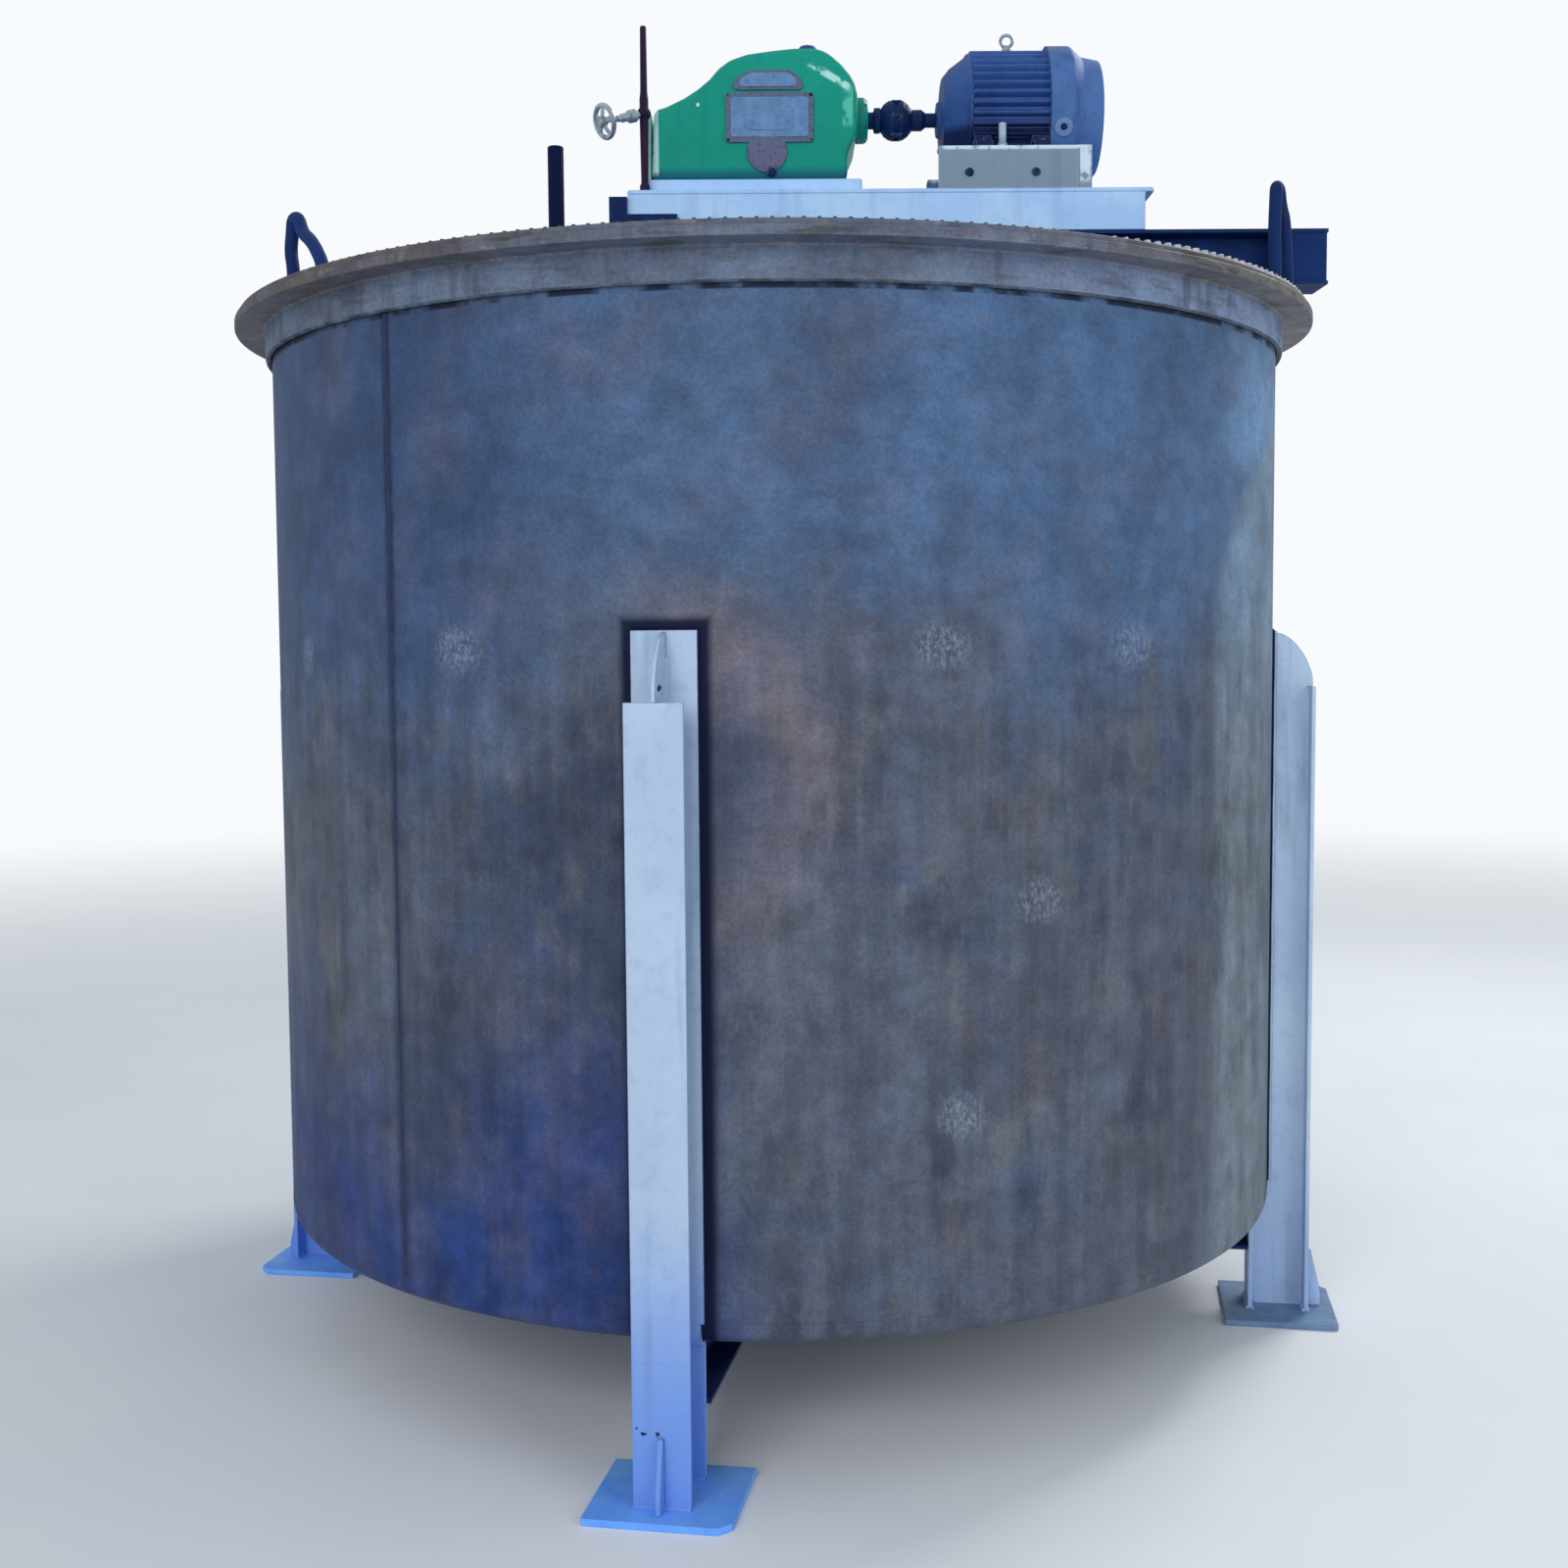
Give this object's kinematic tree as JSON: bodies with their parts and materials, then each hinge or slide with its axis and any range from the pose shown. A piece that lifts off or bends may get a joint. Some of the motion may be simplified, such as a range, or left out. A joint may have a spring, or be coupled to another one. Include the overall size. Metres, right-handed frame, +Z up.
{
  "type": "jacketed mixing tank",
  "caption": "Upright jacketed steel mixing tank on beam legs, with a flat cover and a geared agitator drive, coupling and motor on a beam bridge.",
  "frame": {"origin": "on the floor under the tank's centre line, at the middle of the four foot plates", "axes": "+Z up; -Y towards the side that the picture shows; +X along the drive line, from the gearbox to the motor"},
  "size_m": [2.7238, 2.7238, 3.1147],
  "materials": {
    "jacket_steel": "dull, oxidised, stained",
    "rim_steel": "dull, brown stains",
    "vessel_steel": "mill finish",
    "leg_paint": "worn light blue-grey paint",
    "base_paint": "weathered pale grey paint",
    "gearbox_green": "semi-gloss green enamel",
    "motor_blue": "satin blue-grey enamel",
    "beam_navy": "dark navy paint",
    "coupling_black": "oily dark iron",
    "zinc": "zinc plated",
    "bare_plate": "dull bare metal",
    "pipe_maroon": "dark red-brown"
  },
  "bodies": {
    "tank": {"jacket_plate_front": "jacket_steel", "jacket_plate_right": "jacket_steel", "jacket_plate_rear": "jacket_steel", "jacket_plate_left": "jacket_steel", "jacket_bottom": "jacket_steel", "inner_vessel": "vessel_steel", "rim_ring": "rim_steel", "cover_plate": "rim_steel", "leg_front": "leg_paint", "leg_right": "leg_paint", "leg_rear": "leg_paint", "leg_left": "leg_paint", "foot_plate_front": "leg_paint", "foot_plate_right": "leg_paint", "foot_plate_rear": "leg_paint", "foot_plate_left": "leg_paint", "under_beam_long": "beam_navy", "under_beam_right": "beam_navy", "under_beam_left": "beam_navy", "lifting_lug_left": "beam_navy", "lifting_lug_right": "beam_navy", "lifting_lug_rear": "beam_navy", "cross_bearer_left": "beam_navy", "cross_bearer_right": "beam_navy", "bridge_beam_front": "beam_navy", "bridge_beam_rear": "beam_navy", "base_channel_front": "base_paint", "base_channel_rear": "base_paint", "base_top_plate": "base_paint", "base_clip": "beam_navy", "gearbox_sole_plate": "base_paint", "motor_rail_front": "base_paint", "motor_rail_rear": "base_paint", "gearbox_housing": "gearbox_green", "gearbox_end_cover": "gearbox_green", "gearbox_side_plate": "bare_plate", "gearbox_bearing_cap": "gearbox_green", "gearbox_breather": "gearbox_green", "output_pedestal": "gearbox_green", "motor_frame": "motor_blue", "motor_end_shield": "motor_blue", "motor_fan_cowl": "motor_blue", "motor_terminal_box": "motor_blue", "motor_lifting_eye": "zinc", "standpipe": "pipe_maroon", "valve_body": "zinc", "vent_stub": "beam_navy"},
    "drive_line": {"input_shaft": "coupling_black", "coupling": "coupling_black", "motor_shaft": "coupling_black"},
    "handwheel": {"valve_handwheel": "zinc"}
  },
  "joints": [
    {"name": "drive_spin", "type": "hinge", "parent": "tank", "child": "drive_line", "pos_m": [0.302, 0, 2.908], "axis": [1, 0, 0], "continuous": true},
    {"name": "handwheel_turn", "type": "hinge", "parent": "tank", "child": "handwheel", "pos_m": [-0.3038, -0.1655, 2.881], "axis": [-0.7595, -0.5724, -0.309], "range_deg": [0, 1080]}
  ]
}
